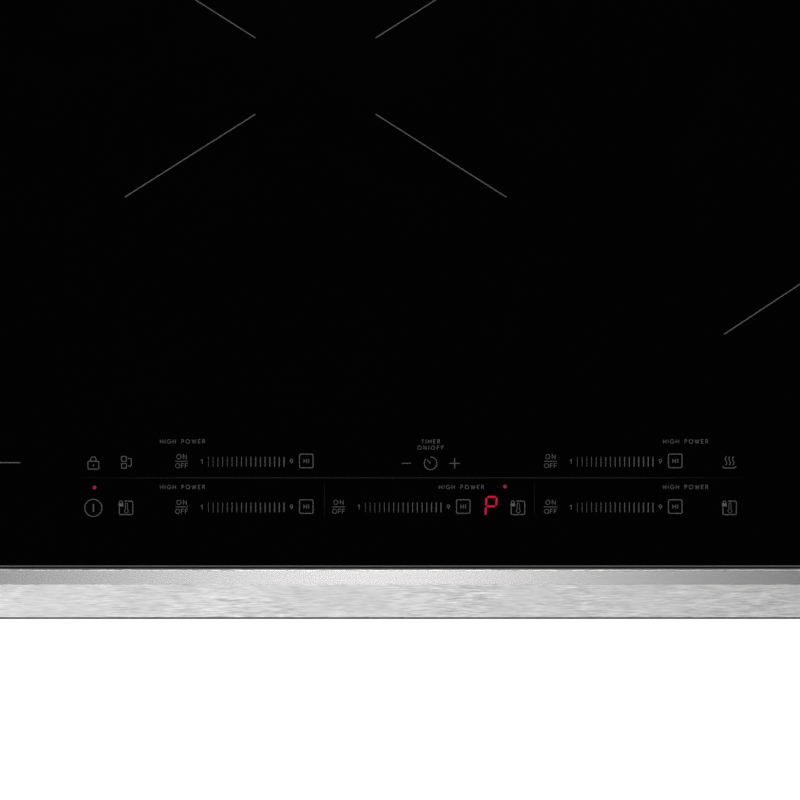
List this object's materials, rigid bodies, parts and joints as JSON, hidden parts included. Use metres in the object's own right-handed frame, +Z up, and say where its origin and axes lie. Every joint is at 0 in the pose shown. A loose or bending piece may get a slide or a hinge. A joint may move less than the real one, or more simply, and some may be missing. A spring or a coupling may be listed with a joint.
{
  "type": "induction cooktop",
  "caption": "Drop-in electric induction cooktop with a flat black glass top, fine printed zone marks and touch controls, a brushed steel front trim and a stepped burner box.",
  "frame": {"origin": "middle of the plan outline at the underside of the burner box feet", "axes": "+X to the user's right along the front trim, +Y away from the user, +Z up out of the glass"},
  "size_m": [0.933, 0.546, 0.098],
  "materials": {
    "black_glass": "polished opaque black glass-ceramic with fine grey printed marks",
    "brushed_trim": "brushed along its length, satin land and brushed slope",
    "dark_plastic": "moulded, matte",
    "black_sealant": "matte silicone bead",
    "grey_foam": "closed-cell foam strip",
    "zinc_sheet": "zinc-coated sheet, satin",
    "zinc_screws": "zinc-plated, satin",
    "clamp_steel": "zinc-plated plate",
    "inlet_zinc": "die cast, matte",
    "tray_aluminium": "mill finish",
    "coil_carrier_resin": "glass-filled resin, matte",
    "copper_litz": "lacquered stranded copper",
    "ferrite": "pressed ferrite, matte",
    "mica": "pressed mica sheet",
    "sensor_ceramic": "matte",
    "lead_sleeve": "silicone sleeve",
    "circuit_board": "solder resist",
    "board_components": "moulded components",
    "white_nylon": "moulded nylon",
    "motor_steel": "drawn steel can",
    "spring_steel": "plated spring",
    "display_red": "red lens",
    "printed_ink": "grey ceramic ink fired into the glass"
  },
  "bodies": {
    "cooktop": {"glass_top": "black_glass", "front_trim": "brushed_trim", "trim_end_caps": "brushed_trim", "trim_support": "dark_plastic", "control_carrier": "dark_plastic", "terminal_block": "dark_plastic", "blower_housing_left": "dark_plastic", "blower_housing_right": "dark_plastic", "trim_seal": "black_sealant", "worktop_gasket": "grey_foam", "glass_frame": "zinc_sheet", "burner_box": "zinc_sheet", "terminal_cover": "zinc_sheet", "terminal_box": "zinc_sheet", "frame_screws": "zinc_screws", "cover_screws": "zinc_screws", "clamp_pivots": "zinc_screws", "tray_posts": "zinc_screws", "inlet_fitting": "inlet_zinc", "inlet_nut": "inlet_zinc", "coil_tray": "tray_aluminium", "heat_sink_left": "tray_aluminium", "heat_sink_right": "tray_aluminium", "coil_carrier_centre": "coil_carrier_resin", "coil_carrier_right_front": "coil_carrier_resin", "coil_carrier_right_rear": "coil_carrier_resin", "coil_carrier_left_front": "coil_carrier_resin", "coil_carrier_left_rear": "coil_carrier_resin", "coil_winding_centre": "copper_litz", "coil_winding_right_front": "copper_litz", "coil_winding_right_rear": "copper_litz", "coil_winding_left_front": "copper_litz", "coil_winding_left_rear": "copper_litz", "ferrite_bars": "ferrite", "insulation_discs": "mica", "coil_sensors": "sensor_ceramic", "internal_leads": "lead_sleeve", "power_board_left": "circuit_board", "power_board_right": "circuit_board", "filter_board": "circuit_board", "touch_board": "circuit_board", "board_parts_left": "board_components", "board_parts_right": "board_components", "filter_parts": "board_components", "board_standoffs": "white_nylon", "blower_motor_left": "motor_steel", "blower_motor_right": "motor_steel", "touch_springs": "spring_steel", "display_module": "display_red", "status_lights": "display_red"},
    "rotor_left": {"blower_rotor_left": "dark_plastic"},
    "rotor_right": {"blower_rotor_right": "dark_plastic"},
    "arm_front_left": {"clamp_arm_front_left": "clamp_steel"},
    "bolt_front_left": {"clamp_screw_front_left": "zinc_screws"},
    "arm_rear_left": {"clamp_arm_rear_left": "clamp_steel"},
    "bolt_rear_left": {"clamp_screw_rear_left": "zinc_screws"},
    "arm_front_right": {"clamp_arm_front_right": "clamp_steel"},
    "bolt_front_right": {"clamp_screw_front_right": "zinc_screws"},
    "arm_rear_right": {"clamp_arm_rear_right": "clamp_steel"},
    "bolt_rear_right": {"clamp_screw_rear_right": "zinc_screws"}
  },
  "joints": [
    {"name": "blower_left_spin", "type": "hinge", "parent": "cooktop", "child": "rotor_left", "pos_m": [-0.255, 0.15, 0.03], "axis": [0, 0, 1], "continuous": true},
    {"name": "blower_right_spin", "type": "hinge", "parent": "cooktop", "child": "rotor_right", "pos_m": [0.255, 0.15, 0.03], "axis": [0, 0, 1], "continuous": true},
    {"name": "clamp_front_left_swing", "type": "hinge", "parent": "cooktop", "child": "arm_front_left", "pos_m": [-0.413, -0.15, 0.0415], "axis": [0, 0, -1], "range_deg": [-90, 0]},
    {"name": "clamp_front_left_lift", "type": "slide", "parent": "arm_front_left", "child": "bolt_front_left", "axis": [0, 0, 1], "range_m": [0, 0.022]},
    {"name": "clamp_rear_left_swing", "type": "hinge", "parent": "cooktop", "child": "arm_rear_left", "pos_m": [-0.413, 0.17, 0.0415], "axis": [0, 0, -1], "range_deg": [-90, 0]},
    {"name": "clamp_rear_left_lift", "type": "slide", "parent": "arm_rear_left", "child": "bolt_rear_left", "axis": [0, 0, 1], "range_m": [0, 0.022]},
    {"name": "clamp_front_right_swing", "type": "hinge", "parent": "cooktop", "child": "arm_front_right", "pos_m": [0.413, -0.15, 0.0415], "axis": [0, 0, 1], "range_deg": [-90, 0]},
    {"name": "clamp_front_right_lift", "type": "slide", "parent": "arm_front_right", "child": "bolt_front_right", "axis": [0, 0, 1], "range_m": [0, 0.022]},
    {"name": "clamp_rear_right_swing", "type": "hinge", "parent": "cooktop", "child": "arm_rear_right", "pos_m": [0.413, 0.17, 0.0415], "axis": [0, 0, 1], "range_deg": [-90, 0]},
    {"name": "clamp_rear_right_lift", "type": "slide", "parent": "arm_rear_right", "child": "bolt_rear_right", "axis": [0, 0, 1], "range_m": [0, 0.022]}
  ]
}
